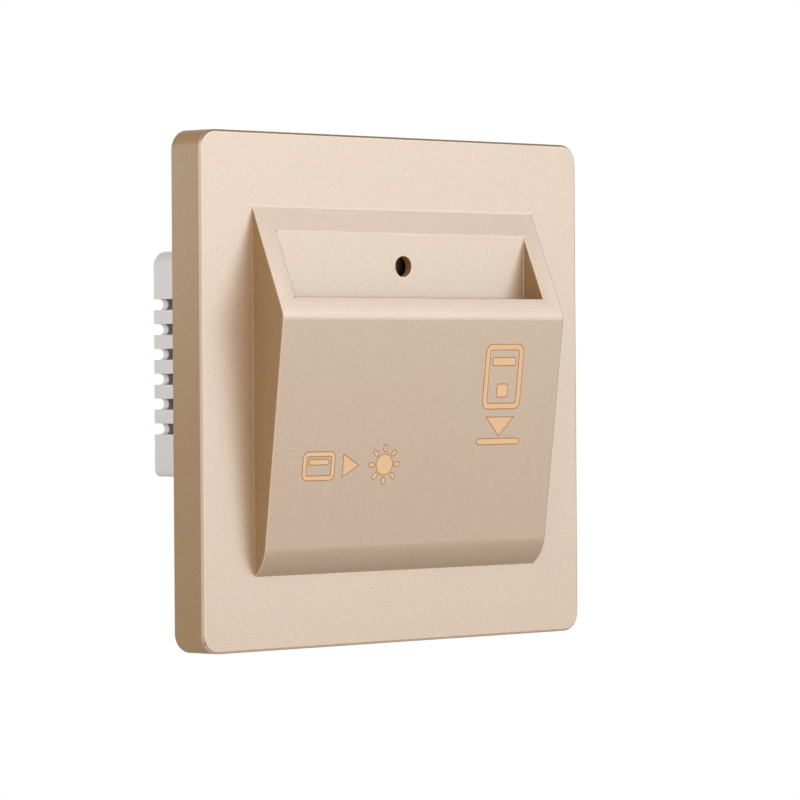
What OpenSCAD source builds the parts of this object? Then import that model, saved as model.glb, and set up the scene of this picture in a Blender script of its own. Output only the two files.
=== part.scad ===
// Hotel key card switch for a square wall box.
// A card pushed into the hood swings a sprung lever, the lever works a snap switch,
// and the board behind it closes a power relay.
// The origin is the middle of the wall plane: +X right, +Y into the wall, +Z up.

/* [Cover plate] */
// Width of the cover plate
plate_w = 86; // [84:0.5:100]
// Height of the cover plate
plate_h = 90; // [88:0.5:110]
// Depth of the cover plate in front of the wall
plate_t = 8; // [7.6:0.1:10]
// Corner radius of the cover plate
plate_r = 3.5; // [2.5:0.1:6]
// How far each side of the plate leans in between the wall and its front edge
plate_draft = 0.2; // [0.05:0.05:0.5]
// Bevel along the front edge of the plate
edge_bevel = 0.4; // [0.2:0.05:0.8]
// Wall thickness of the moulded cover
cover_wall = 1.8; // [1.4:0.1:2.2]

/* [Hood] */
// Width of the hood
hood_w = 63.6; // [61:0.2:68]
// Height of the upper edge of the hood above the middle of the plate
hood_top = 31.9; // [30:0.1:34]
// Height of the lip of the hood above the middle of the plate
lip_z = 13; // [12:0.1:14]
// How far the lip stands out from the plate
lip_out = 8.8; // [8.4:0.1:9.4]
// Rounding of the lip
lip_r = 3; // [1:0.5:5]
// Lean of the front of the hood from upright, in degrees
front_tilt = 8; // [7:0.25:9]
// Height at which the front of the hood starts to curve back to the plate
toe_z = -27; // [-28:0.5:-26]
// Radius of that curve
toe_r = 7; // [6.5:0.5:9]
// Wall thickness of the front of the hood
hood_wall = 1.4; // [1.2:0.1:1.7]

/* [Card slot] */
// Width of a key card
card_w = 54; // [50:0.5:55]
// Room between the card and each side of the slot
card_side_gap = 1.1; // [0.6:0.1:1.4]
// How far the back wall of the slot stands out from the plate
slot_back = 2; // [1.8:0.1:2.4]
// Gap between the back wall and the lip
mouth_gap = 5.3; // [4.9:0.05:5.6]
// Gap of the slot further down
slot_gap = 4.6; // [4.4:0.1:4.8]
// Height of the floor of the slot
slot_floor = -26; // [-28:0.5:-20]
// Thickness of the back wall and the floor of the slot
slot_wall = 1.6; // [1.2:0.1:1.8]

/* [Cover fixing] */
// Radius of the four pegs that hold the cover
peg_r = 2; // [1.5:0.1:2.5]
// Distance from the edges of the plate to the pegs
peg_inset = 7; // [6.5:0.1:9]
// Radial clearance of a peg in its socket
peg_clear = 0.05; // [0.02:0.01:0.1]
// Wall thickness of a socket
socket_wall = 2; // [1.2:0.1:2.2]
// Width of the prying notch in the lower edge
notch_w = 10; // [6:0.5:16]
// Depth of the prying notch
notch_d = 1.2; // [0.8:0.1:1.6]

/* [Mounting frame] */
// Thickness of the mounting frame
frame_t = 2.4; // [2:0.1:2.6]
// Clearance between the frame and the inside of the cover
frame_gap = 0.4; // [0.3:0.05:0.8]
// Height of the rim round the frame
frame_rim_h = 1.6; // [1:0.1:2]
// Width of the rim round the frame
frame_rim_w = 1.4; // [1:0.1:2]
// Spacing of the two wall screws
wall_screw_pitch = 60.3; // [58:0.1:62]
// Width of a wall screw slot
wall_slot_w = 4.4; // [3.8:0.1:5]
// Length of a wall screw slot
wall_slot_l = 8; // [6:0.5:9]

/* [Rear housing] */
// Width of the rear housing
box_w = 51; // [51:0.5:56]
// Height of the rear housing
box_h = 40.8; // [40.8:0.2:46]
// Height of the middle of the rear housing above the middle of the plate
box_lift = 4.9; // [4:0.1:6]
// Depth of the rear housing behind the wall plane
box_depth = 30.5; // [30:0.5:40]
// Wall thickness of the rear housing
box_wall = 1.6; // [1.2:0.1:1.8]
// Radius of its upper corners
box_top_r = 2.8; // [2:0.1:4]
// Radius of its lower corners
box_low_r = 1.2; // [0.8:0.1:3]
// Number of ventilation slots on each side
vent_count = 6; // [3:1:6]
// Height of a ventilation slot
vent_h = 2; // [1.2:0.1:2.4]
// Spacing of the ventilation slots
vent_pitch = 4.5; // [3.6:0.1:4.6]
// Height of the middle of the row of slots above the middle of the plate
vent_mid = 4.4; // [3.5:0.1:5.5]
// How far behind the wall the slots start
vent_start = 12; // [8:0.5:20]
// How far the slots run on into the back wall
vent_wrap = 1.1; // [1:0.1:2.6]

/* [Housing screws] */
// Shank radius of the housing screws
screw_r = 1.3; // [1:0.05:1.5]
// Length of the shank
screw_l = 10; // [8:0.5:12]
// Head radius
screw_head_r = 2.6; // [2:0.1:2.8]
// Head height
screw_head_h = 1.5; // [1:0.1:1.6]
// Radius of the posts that take the screws
post_r = 2.8; // [2.4:0.1:3]
// Depth of those posts
post_l = 9.2; // [8.4:0.1:9.4]

/* [Circuit board] */
// Thickness of the circuit board
board_t = 1.6; // [1.2:0.2:2]
// Clearance between the board and the walls
board_gap = 0.5; // [0.3:0.1:0.7]

/* [Card lever] */
// Height of the lever pin above the middle of the plate
pivot_z = 5.2; // [5:0.1:5.6]
// Height of the tip of the nose
nose_z = -9; // [-10:0.25:-8.5]
// Height of the root of the nose, measured up from its tip
nose_rise = 6.4; // [5.5:0.1:6.6]
// Width of the nose
nose_w = 6; // [4:0.5:8]
// Gap between the tip of the nose and the front wall of the slot
nose_gap = 0.7; // [0.5:0.1:1.2]
// Thickness of the arm of the lever
lever_t = 1.5; // [1.2:0.1:1.6]
// Width of the arm
lever_w = 11.6; // [11:0.2:12]
// Width of the hub
hub_w = 9.2; // [8:0.1:9.4]
// Radius of the hub
hub_r = 1.9; // [1.7:0.05:1.95]
// Gap between the arm and the slot's back wall
lever_gap = 0.45; // [0.35:0.05:0.5]
// Swing of the lever, in degrees
lever_swing = 16; // [12:0.5:17]
// Radius of the lever pin
pin_r = 1; // [0.8:0.05:1.1]
// Radial running clearance on the pin
pin_clear = 0.05; // [0.02:0.01:0.1]
// Radial clearance of the pin in the ears that hold it
ear_clear = 0.01; // [0.01:0.005:0.02]
// Thickness of each ear
ear_t = 2.2; // [1.6:0.1:2.6]
// Distance between the ears
ear_space = 17.2; // [17:0.1:18]
// Distance of the contact pad below the pin
pad_drop = 5; // [4.8:0.1:5.2]
// Radius of the contact pad
pad_r = 1.5; // [1.2:0.1:1.8]
// How far the pad stands out behind the arm
pad_proud = 0.6; // [0.4:0.1:0.8]
// Width of the contact pad
pad_w = 7; // [6.4:0.1:8]

/* [Lever spring] */
// Diameter of the spring wire
spring_wire = 0.5; // [0.4:0.05:0.6]
// Radius of the middle of the wire
spring_r = 1.6; // [1.5:0.05:1.65]
// Number of turns
spring_turns = 3; // [2:1:3]
// Distance between turns
spring_pitch = 1; // [0.95:0.01:1]

/* [Snap switch] */
// Length of the snap switch
switch_l = 20; // [19:0.2:21]
// Thickness of the snap switch
switch_t = 6.4; // [6:0.1:6.6]
// Height of its case
switch_h = 9.4; // [9:0.1:10.5]
// Wall thickness of the case
switch_wall = 1; // [0.8:0.05:1.1]
// Thickness of its lid
switch_lid_t = 0.9; // [0.7:0.05:1]
// Sideways place of the plunger
plunger_x = 2.5; // [2:0.1:3]
// Radius of the plunger
plunger_r = 1.2; // [1:0.05:1.3]
// Running clearance of the plunger
plunger_clear = 0.05; // [0.02:0.01:0.1]
// Gap between the plunger and the contact pad at rest
plunger_gap = 0.1; // [0.08:0.01:0.15]
// Thickness of the switch blade
blade_t = 0.4; // [0.3:0.05:0.5]
// Width of the switch blade
blade_w = 3; // [2:0.1:3.2]

/* [Indicator] */
// Distance of the indicator window below the top of the rear housing
window_drop = 3.5; // [3.3:0.1:4]
// Radius of the indicator window
window_r = 1.8; // [1.6:0.05:2]
// Radius of the indicator lamp
led_r = 1.5; // [1.4:0.05:1.55]
// Length of the lamp
led_l = 5.3; // [5:0.1:5.5]
// Radius of the lamp's flange
led_flange_r = 1.9; // [1.8:0.05:2]
// Thickness of the flange
led_flange_t = 1; // [0.8:0.1:1.1]
// Gap between the lamp and the wall with the window
led_gap = 1; // [0.6:0.1:1.2]
// Clearance round the lamp
led_clear = 0.06; // [0.03:0.01:0.1]
// Spacing of the lamp's leads
lead_pitch = 2.54; // [2.4:0.02:2.6]
// Radius of a lead
lead_r = 0.25; // [0.2:0.01:0.3]

/* [Terminals] */
// Spacing of the poles
pole_pitch = 11.6; // [11:0.1:11.8]
// Height of the terminal block
block_h = 11.5; // [11.2:0.1:11.7]
// Gap between the terminal block and the bottom wall of the housing
block_lift = 1.6; // [1.5:0.1:1.8]
// Side wall of the terminal block outside the last pole
block_side = 2.2; // [1.5:0.1:2.2]
// Back wall of the terminal block
block_back = 1.6; // [1.2:0.1:1.8]
// Width of a clamp
clamp_w = 7.6; // [7:0.1:7.8]
// Length of a clamp along the wire
clamp_l = 7.6; // [7:0.1:7.7]
// Depth of a clamp along its screw
clamp_d = 8; // [7.9:0.05:8.2]
// Thickness of the wire side of a clamp
clamp_wall = 1; // [0.8:0.05:1.1]
// Thickness of the threaded side of a clamp
clamp_nut = 1.6; // [1.4:0.1:1.7]
// Travel of a clamp
clamp_travel = 3; // [2:0.1:3]
// Running clearance of a clamp
clamp_clear = 0.2; // [0.15:0.05:0.3]
// Radius of a terminal screw
term_screw_r = 1.75; // [1.4:0.05:1.8]
// Clearance of a terminal screw in its thread and its hole
term_screw_clear = 0.05; // [0.03:0.01:0.1]
// Head radius of a terminal screw
term_head_r = 3; // [2.6:0.1:3.2]
// Head height of a terminal screw
term_head_h = 1.8; // [1.4:0.1:2]
// Gap between the screw heads and the back wall of the housing
term_head_gap = 1.1; // [0.8:0.1:1.5]
// Width of a bus bar
bar_w = 4.4; // [4:0.1:4.6]
// Thickness of a bus bar
bar_t = 0.8; // [0.6:0.05:0.9]
// Width of the tail of a bus bar
bar_tail_w = 2.4; // [2:0.1:3]

/* [Relay] */
// Length of the relay
relay_l = 29; // [28.6:0.1:29.4]
// Width of the relay
relay_w = 12.6; // [12.4:0.1:12.8]
// Height of the relay
relay_h = 16; // [15.6:0.1:17]
// Wall thickness of the relay cover
relay_wall = 0.8; // [0.6:0.05:0.9]
// Gap between the relay and the post beside it
relay_gap = 0.4; // [0.3:0.1:0.5]
// Height of the lower side of the relay above the middle of the plate
relay_z = 7.6; // [7.3:0.1:7.9]
// Thickness of the relay base
relay_base_t = 1.8; // [1.4:0.1:2]
// Radius of the coil winding
coil_r = 4.4; // [4:0.1:4.5]
// Length of the coil
coil_l = 13; // [12:0.1:13]
// Radius of the coil's end flanges
coil_flange_r = 4.8; // [4.6:0.05:4.9]
// Thickness of the coil's end flanges
coil_flange_t = 1; // [0.8:0.1:1.2]
// Radius of the iron core
core_r = 1.8; // [1.5:0.1:2]
// Clearance between the core and the coil
core_clear = 0.05; // [0.03:0.01:0.1]
// Thickness of the yoke
yoke_t = 1.2; // [1:0.1:1.3]
// Width of the yoke and the armature
yoke_w = 7; // [6:0.1:8]
// Thickness of the armature
armature_t = 1.2; // [1:0.1:1.3]
// Gap between the armature and the core at rest
armature_gap = 1.2; // [1.1:0.05:1.3]
// Swing of the armature, in degrees
armature_swing = 4.5; // [3:0.25:4.75]

/* [Board parts] */
// Width of the film capacitor
film_w = 6.4; // [5:0.1:6.6]
// Length of the film capacitor
film_l = 13; // [12:0.1:13.5]
// Height of the film capacitor off the board
film_h = 12; // [10:0.1:14]
// Radius of an electrolytic capacitor
can_r = 3.15; // [2.5:0.05:3.3]
// Height of an electrolytic capacitor
can_h = 11; // [8:0.1:13]
// Radius of a resistor
resistor_r = 1.1; // [0.8:0.05:1.2]
// Length of a resistor
resistor_l = 6.3; // [5:0.1:6.6]
// Radius of a diode
diode_r = 1.1; // [0.9:0.05:1.2]
// Length of a diode
diode_l = 4.2; // [3.8:0.1:4.6]
// Side of the control chip
chip_w = 5; // [4:0.1:6]
// Thickness of the control chip
chip_t = 1.6; // [1.2:0.1:2]

/* [Hidden] */
$fn = 64;

// Past the face of a cut, so that it leaves no skin
over = 1;
// How far one lump of a moulding reaches into the next
sink = 0.6;
// Room beside a piece that is let through a wall
pass = 0.1;
// Least radius of an inside corner
least_r = 0.4;

// Places through the depth of the part, from the room to the wall
front_y = -plate_t;
inner_y = front_y + cover_wall;

// Hood: how far its front stands out from the plate at height z
front_lean = tan(front_tilt);
function hood_out(z) = lip_out - front_lean * (lip_z - z);
// A point of the hood's section, from how far it stands out and its height
function at(out, z) = [front_y - out, z];
toe_out = hood_out(toe_z);
toe_end = acos(cos(front_tilt) - toe_out / toe_r);
toe_mid = [toe_out - toe_r * cos(front_tilt), toe_z + toe_r * sin(front_tilt)];

// Slot: the lip's inner face, and the heights where its walls take up the lean
slot_w = card_w + 2 * card_side_gap;
slot_lip = slot_back + mouth_gap;
slot_front_z = lip_z - (lip_out - hood_wall - slot_lip) / front_lean;
slot_back_z = lip_z - (lip_out - hood_wall - slot_gap - slot_back) / front_lean;
pocket_top_z = hood_top - slot_back * (hood_top - lip_z) / lip_out;
slot_floor_front = hood_out(slot_floor) - hood_wall;
slot_floor_back = slot_floor_front - slot_gap;
function slot_front_y(z) = front_y - hood_out(z) + hood_wall;
function slot_rear_y(z) = slot_front_y(z) + slot_gap + slot_wall;

// Cover fixing
peg_x = plate_w / 2 - peg_inset;
peg_z = plate_h / 2 - peg_inset;
socket_r = peg_r + peg_clear + socket_wall;
socket_top = -inner_y - frame_gap;
peg_short = 1;

// Mounting frame
frame_w = plate_w - 2 * (cover_wall + plate_draft + frame_gap);
frame_h = plate_h - 2 * (cover_wall + plate_draft + frame_gap);
frame_r = 1.5;
switch_room = 1;
seat_d = 0.6;
seat_gap = 0.2;

// Card lever, set off the slot's back wall
nose_heel = 1.5;
lever_end_z = nose_z - nose_heel;
arm_front_y = slot_rear_y(lever_end_z) + lever_gap;
arm_back_y = arm_front_y + lever_t;
pivot_y = arm_front_y + lever_t / 2;
nose_y = slot_front_y(nose_z) + nose_gap;
nose_tip_h = 0.6;
spring_room = 0.6;
neck_z = pivot_z - spring_r - spring_wire - spring_room;
window_gap = 0.8;
ear_wall = 1;
ear_r = pin_r + ear_wall;
pin_l = ear_space + 2 * ear_t;

// Snap switch, set off the lever's pad
pad_y = arm_back_y + pad_proud;
plunger_y = pad_y + plunger_gap;
plunger_travel = pad_drop * lever_swing * PI / 180;
plunger_rest = 0.4;
switch_y = plunger_y + plunger_travel + plunger_rest;
switch_z = pivot_z - pad_drop;
collar_step = 0.7;
collar_r = plunger_r + collar_step;
collar_t = 0.6;
foot_r = 0.8;
foot_l = 1.4;
foot_y = switch_y + switch_wall + pass + collar_t + foot_l;
blade_gap = 0.25;
blade_y = foot_y + blade_gap + blade_t / 2;
blade_margin = 1.4;
blade_end = switch_l / 2 - switch_wall - blade_margin;
blade_lift = 2 * blade_end * plunger_travel / (plunger_x + blade_end);
contact_t = 0.4;
contact_w = 1.4;
contact_l = 2.4;
contact_gap = 0.35;
pin_over = 1;

// Circuit board, on the back of the switch
board_y = switch_y + switch_h;
rear_y = board_y + board_t;
box_in_w = box_w - 2 * box_wall;
box_in_top = box_lift + box_h / 2 - box_wall;
window_z = box_lift + box_h / 2 - window_drop;
box_in_low = box_lift - box_h / 2 + box_wall;
box_in_y = box_depth - box_wall;
rib_d = 1.2;
rib_w = 2;
rib_top_x = 12;
rib_low_x = pole_pitch / 2;
post_bite = 0.3;
post_x = box_in_w / 2 - post_r + post_bite;
post_top = box_in_top - post_r + post_bite;
post_low = box_in_low + post_r - post_bite;
post_zs = [post_low, post_top];
post_clear = 0.4;
screw_clear = 0.05;
pilot_past = 0.4;
pilot_y = screw_l - frame_t + pilot_past;
cross_w = 0.7;
press_r = 2;
press_inset = 5.4;
press_above = 3.4;
press_below = 5.2;
press_zs = [post_low + press_above, post_top - press_below];

// Terminals, set off the back wall of the housing
pole_count = 3;
block_w = (pole_count - 1) * pole_pitch + clamp_w + 2 * (clamp_clear + block_side);
block_z = box_in_low + block_lift;
block_stand = 0.3;
block_foot = 2;
block_y = box_in_y - term_head_gap - term_head_h;
clamp_far = block_y - block_back - clamp_clear;
clamp_y = clamp_far - clamp_travel - clamp_d;
clamp_set = 0.7;
clamp_z = block_z + clamp_set;
term_z = clamp_z + clamp_l / 2;
bar_y = clamp_y + clamp_d - clamp_nut - clamp_clear - bar_t;
bar_rise = 1.8;
bar_foot = 0.2;
bar_top = clamp_z + clamp_l + bar_rise;
wire_gap_y = clamp_y + clamp_wall;
entry_w = 6;
poles = [for (i = [0 : pole_count - 1]) (i - (pole_count - 1) / 2) * pole_pitch];
driver_slot_w = 1;
driver_slot_d = 0.9;

// Relay, between the post on the left and the film capacitor on the right
relay_x = -(post_x - post_r) + relay_gap;
relay_mid_z = relay_z + relay_w / 2;
relay_in = relay_wall + pass;
yoke_x = relay_x + relay_in + pass;
coil_x = yoke_x + yoke_t;
coil_lift = 1.4;
coil_y = rear_y + relay_base_t + coil_lift + coil_flange_r;
yoke_gap = 0.4;
yoke_y = coil_y + coil_flange_r + yoke_gap;
core_proud = 0.4;
core_end = coil_x + coil_l + core_proud;
armature_x = core_end + armature_gap;
armature_lift = 1.2;
armature_low = rear_y + relay_base_t + armature_lift;
hinge_y = yoke_y + yoke_t;
arm_reach = 6;
arm_lift = 2.4;
arm_y = armature_low + arm_lift;
arm_thick = 0.8;
contact_r = 1.2;
touch_gap = 0.8;
rest_gap = 0.3;

// Small parts on the board
film_gap = 0.7;
film_x = relay_x + relay_l + film_gap;
film_drop = 3.6;
film_z = relay_z - film_drop;
can_z = (block_z + block_h + relay_z) / 2;
can_in = 5;
can_pitch = 9;
can_xs = [relay_x + can_in, relay_x + can_in + can_pitch];
lead_reach = 1.2;
lead_gap = 0.6;
function axial_step(l) = l + 2 * (lead_reach + lead_r) + lead_gap;
resistor_in = 5;
resistor_pitch = 4.5;
resistor_xs = [-resistor_in, -resistor_in - resistor_pitch];
resistor_gap = 2.5;
resistor_z = switch_z + (switch_t + axial_step(resistor_l)) / 2 + resistor_gap;
diode_edge = 4.8;
diode_pitch = 4.5;
diode_x = box_in_w / 2 - board_gap - diode_edge;
diode_xs = [diode_x - diode_pitch, diode_x];
diode_zs = [for (s = [-1, 1]) (press_zs[0] + press_zs[1] + s * axial_step(diode_l)) / 2];
chip_edge = 7.4;
chip_x = chip_edge + board_gap - box_in_w / 2;
chip_lift = 4.8;
chip_z = switch_z + chip_lift;

// Draws in the plane of the wall: x stays, y becomes Z, and height goes towards the room
module facing_room() {
    rotate([90, 0, 0]) children();
}

// Draws in the plane of the wall, with height into the wall, from depth y on
module into_wall(y) {
    translate([0, y, 0]) mirror([0, 1, 0]) rotate([90, 0, 0]) children();
}

// Extrudes a section drawn in Y and Z along X, centred
module along_x(w) {
    rotate([90, 0, 90]) linear_extrude(w, center = true) children();
}

// Box given by its low corner and its size
module block(x, y, z, w, d, h) {
    translate([x, y, z]) cube([w, d, h]);
}

// Box centred in x
module mid_block(y, z, w, d, h) {
    translate([-w / 2, y, z]) cube([w, d, h]);
}

// Round bar along Y, from depth y on
module rod_y(x, y, z, r, l) {
    translate([x, y, z]) rotate([-90, 0, 0]) cylinder(h = l, r = r);
}

// Round bar along X
module rod_x(x, y, z, r, l) {
    translate([x, y, z]) rotate([0, 90, 0]) cylinder(h = l, r = r);
}

// Plate with rounded corners whose sides lean in by d over its thickness
module drafted_slab(w, h, r, t, d) {
    for (x = [-1, 1], y = [-1, 1])
        translate([x * (w / 2 - r), y * (h / 2 - r), 0]) cylinder(h = t, r1 = r, r2 = r - d);
    rotate([90, 0, 0]) linear_extrude(h - 2 * r, center = true)
        polygon([[-w / 2, 0], [w / 2, 0], [w / 2 - d, t], [d - w / 2, t]]);
    rotate([90, 0, 90]) linear_extrude(w - 2 * r, center = true)
        polygon([[-h / 2, 0], [h / 2, 0], [h / 2 - d, t], [d - h / 2, t]]);
}

// Rectangle with rounded corners
module round_rect(w, h, r) {
    square([w - 2 * r, h], center = true);
    square([w, h - 2 * r], center = true);
    for (x = [-1, 1], y = [-1, 1])
        translate([x * (w / 2 - r), y * (h / 2 - r)]) circle(r);
}

function unit(v) = v / norm(v);

// Points of the arc of radius r that rounds corner b between points a and c
function rounding(a, b, c, r, steps) =
    let (u = unit(a - b), v = unit(c - b))
    let (half = acos(u * v) / 2)
    let (mid = b + unit(u + v) * r / sin(half))
    let (from = b + u * r / tan(half) - mid, to = b + v * r / tan(half) - mid)
    let (start = atan2(from.y, from.x))
    let (sweep = (atan2(to.y, to.x) - start + 540) % 360 - 180)
    [for (i = [0 : steps]) mid + r * [cos(start + sweep * i / steps), sin(start + sweep * i / steps)]];

arc_steps = 8;
lip_points = rounding(at(0, hood_top), at(lip_out, lip_z), at(toe_out, toe_z), lip_r, arc_steps);
toe_points = [
    for (i = [0 : arc_steps])
        let (turn = front_tilt + (toe_end - front_tilt) * i / arc_steps)
        at(toe_mid.x + toe_r * cos(turn), toe_mid.y - toe_r * sin(turn))
];
toe_end_z = toe_points[arc_steps].y;

module hood_section() {
    polygon(concat(
        [at(-sink, hood_top), at(0, hood_top)], lip_points, toe_points, [at(-sink, toe_end_z)]
    ));
}

// The trough behind the slot, down to its floor
module trough_section() {
    polygon([
        at(slot_back, pocket_top_z),
        at(slot_back - slot_wall, pocket_top_z),
        at(slot_back - slot_wall, slot_back_z),
        at(slot_floor_back - slot_wall, slot_floor),
        at(slot_floor_back - slot_wall, slot_floor - slot_wall),
        at(slot_floor_front, slot_floor - slot_wall),
        at(slot_floor_front, slot_floor)
    ]);
}

// The room that the card takes, open upwards
module slot_section() {
    polygon([
        at(slot_back, hood_top + over),
        at(slot_lip, hood_top + over),
        at(slot_lip, slot_front_z),
        at(slot_floor_front, slot_floor),
        at(slot_floor_back, slot_floor),
        at(slot_back, slot_back_z)
    ]);
}

// The hollow behind the upper part of the slot's back wall
module hollow_section() {
    low_z = lip_z - (lip_out - hood_wall - slot_gap - slot_wall + cover_wall) / front_lean;
    polygon([
        at(-cover_wall - over, pocket_top_z),
        at(slot_back - slot_wall, pocket_top_z),
        at(slot_back - slot_wall, slot_back_z),
        at(-cover_wall, low_z),
        at(-cover_wall - over, low_z)
    ]);
}

module plate_outside() {
    side_t = plate_t - edge_bevel;
    facing_room() {
        drafted_slab(plate_w, plate_h, plate_r, side_t, plate_draft);
        translate([0, 0, side_t])
            drafted_slab(
                plate_w - 2 * plate_draft, plate_h - 2 * plate_draft,
                plate_r - plate_draft, edge_bevel, edge_bevel
            );
    }
}

module plate_inside() {
    wall = cover_wall + plate_draft;
    facing_room() translate([0, 0, -over])
        linear_extrude(plate_t - cover_wall + over)
        round_rect(plate_w - 2 * wall, plate_h - 2 * wall, max(plate_r - wall, least_r));
}

module front_cover() {
    color("#d9c6a3") difference() {
        union() {
            difference() {
                plate_outside();
                plate_inside();
            }
            along_x(hood_w) hood_section();
            along_x(slot_w + 2 * slot_wall) trough_section();
            for (x = [-1, 1], z = [-1, 1])
                rod_y(x * peg_x, inner_y - sink, z * peg_z, peg_r, sink - inner_y - peg_short);
        }
        along_x(slot_w) slot_section();
        along_x(slot_w) hollow_section();
        rod_y(0, front_y - slot_back - over, window_z, window_r, slot_wall + 2 * over);
        mid_block(
            slot_front_y(nose_z) + slot_gap / 2, lever_end_z - window_gap - lever_t,
            nose_w + 2 * window_gap, slot_gap + slot_wall,
            nose_rise + lever_t + nose_z - lever_end_z + 2 * window_gap
        );
        mid_block(-notch_d, -plate_h / 2 - over, notch_w, notch_d + over, cover_wall + 2 * over);
    }
}

module wall_slot() {
    reach = (wall_slot_l - wall_slot_w) / 2;
    for (x = [-1, 1])
        translate([x * reach, 0]) circle(wall_slot_w / 2);
    square([2 * reach, wall_slot_w], center = true);
}

// Outline of the rear housing, drawn in by inset
module box_outline(inset) {
    w = box_w / 2 - inset;
    top = box_lift + box_h / 2 - inset;
    low = box_lift - box_h / 2 + inset;
    top_r = max(box_top_r - inset, least_r);
    low_r = max(box_low_r - inset, least_r);
    translate([-w, low + low_r]) square([2 * w, top - low - top_r - low_r]);
    translate([top_r - w, low + low_r]) square([2 * (w - top_r), top - low - low_r]);
    translate([low_r - w, low]) square([2 * (w - low_r), low_r]);
    for (x = [-1, 1]) {
        translate([x * (w - top_r), top - top_r]) circle(top_r);
        translate([x * (w - low_r), low + low_r]) circle(low_r);
    }
}

module lever_ear() {
    rod_x(0, pivot_y, pivot_z, ear_r, ear_t);
    block(0, pivot_y, pivot_z - ear_r, ear_t, -frame_t + sink - pivot_y, 2 * ear_r);
}

lamp_tip = front_y - slot_back + slot_wall + led_gap;
lamp_seat = lamp_tip + led_l - led_flange_t;
lamp_boss_wall = 1.2;
lamp_boss_r = led_flange_r + led_clear + lamp_boss_wall;
lamp_boss_drop = 0.4;
lamp_boss_y = lamp_tip + led_r + lamp_boss_drop;

module mounting_frame() {
    color("#e4e3dc") difference() {
        union() {
            facing_room() difference() {
                linear_extrude(frame_t + frame_rim_h) round_rect(frame_w, frame_h, frame_r);
                translate([0, 0, frame_t]) linear_extrude(frame_rim_h + over)
                    square([frame_w - 2 * frame_rim_w, frame_h - 2 * frame_rim_w], center = true);
            }
            for (x = [-1, 1], z = [-1, 1])
                rod_y(x * peg_x, -socket_top, z * peg_z, socket_r, socket_top);
            for (x = [-1, 1])
                translate([x * (ear_space + ear_t) / 2 - ear_t / 2, 0, 0]) lever_ear();
            rod_y(0, lamp_boss_y, window_z, lamp_boss_r, -lamp_boss_y - seat_d);
            for (x = [-1, 1], z = press_zs)
                rod_y(x * (post_x - press_inset), -frame_t + sink, z, press_r, board_y + frame_t - sink);
        }
        difference() {
            into_wall(-seat_d) linear_extrude(seat_d + over) box_outline(-seat_gap);
            for (x = [-1, 1], z = press_zs)
                rod_y(x * (post_x - press_inset), -frame_t, z, press_r, board_y);
        }
        for (x = [-1, 1], z = [-1, 1])
            rod_y(x * peg_x, -socket_top - over, z * peg_z, peg_r + peg_clear, socket_top + 2 * over);
        for (x = [-1, 1])
            facing_room() translate([x * wall_screw_pitch / 2, 0, -over])
                linear_extrude(frame_t + 2 * over) wall_slot();
        mid_block(
            -frame_t - over, lever_end_z - lever_t, switch_l + 2 * switch_room, frame_t + 2 * over,
            switch_z + switch_t / 2 + post_clear - lever_end_z + lever_t
        );
        rod_x(-pin_l / 2 - over, pivot_y, pivot_z, pin_r + ear_clear, pin_l + 2 * over);
        rod_y(0, lamp_boss_y - over, window_z, led_r + led_clear, over - lamp_boss_y + over);
        rod_y(0, lamp_seat, window_z, led_flange_r + led_clear, over - lamp_seat);
        for (x = [-1, 1], z = post_zs)
            rod_y(x * post_x, -frame_t - over, z, screw_r + post_clear, frame_t + 2 * over);
    }
}

module vent(z) {
    block(
        box_w / 2 - box_wall - over, vent_start, z - vent_h / 2,
        box_wall + 2 * over, box_in_y - vent_start, vent_h
    );
    block(
        box_w / 2 - vent_wrap, box_in_y - over, z - vent_h / 2,
        vent_wrap + over, box_wall + 2 * over, vent_h
    );
    rod_y(box_w / 2 - vent_wrap, box_in_y - over, z, vent_h / 2, box_wall + 2 * over);
}

module board_ribs() {
    depth = box_in_y - rear_y + sink;
    for (x = [-1, 1]) {
        block(x * rib_top_x - rib_w / 2, rear_y, box_in_top - rib_d, rib_w, depth, rib_d + sink);
        block(x * rib_low_x - rib_w / 2, rear_y, box_in_low - sink, rib_w, depth, rib_d + sink);
    }
}

module rear_housing() {
    color("#d4d3ce") difference() {
        union() {
            difference() {
                into_wall(-seat_d) linear_extrude(box_depth + seat_d) box_outline(0);
                into_wall(-seat_d - over) linear_extrude(box_in_y + seat_d + over) box_outline(box_wall);
            }
            for (x = [-1, 1], z = post_zs)
                rod_y(x * post_x, -seat_d, z, post_r, post_l + seat_d);
            board_ribs();
        }
        for (x = [-1, 1], z = post_zs)
            rod_y(x * post_x, -seat_d - over, z, screw_r + screw_clear, pilot_y + seat_d + over);
        for (side = [0, 1], i = [0 : vent_count - 1])
            mirror([side, 0, 0]) vent(vent_mid + (i - (vent_count - 1) / 2) * vent_pitch);
        for (x = poles) {
            rod_y(x, box_in_y - over, term_z, term_head_r + post_clear, box_wall + 2 * over);
            block(
                x - entry_w / 2, wire_gap_y - post_clear, box_in_low - box_wall - over,
                entry_w, bar_y - wire_gap_y + 2 * post_clear, box_wall + 2 * over
            );
        }
    }
}

module housing_screws() {
    color("#c9ccd0") for (x = [-1, 1], z = post_zs)
        difference() {
            union() {
                rod_y(x * post_x, -frame_t - screw_head_h, z, screw_head_r, screw_head_h);
                rod_y(x * post_x, -frame_t - sink, z, screw_r, screw_l + sink);
            }
            for (turn = [0, 90])
                translate([x * post_x, -frame_t - screw_head_h, z]) rotate([0, turn, 0])
                    cube([screw_head_r, screw_head_h, cross_w], center = true);
        }
}

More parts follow.
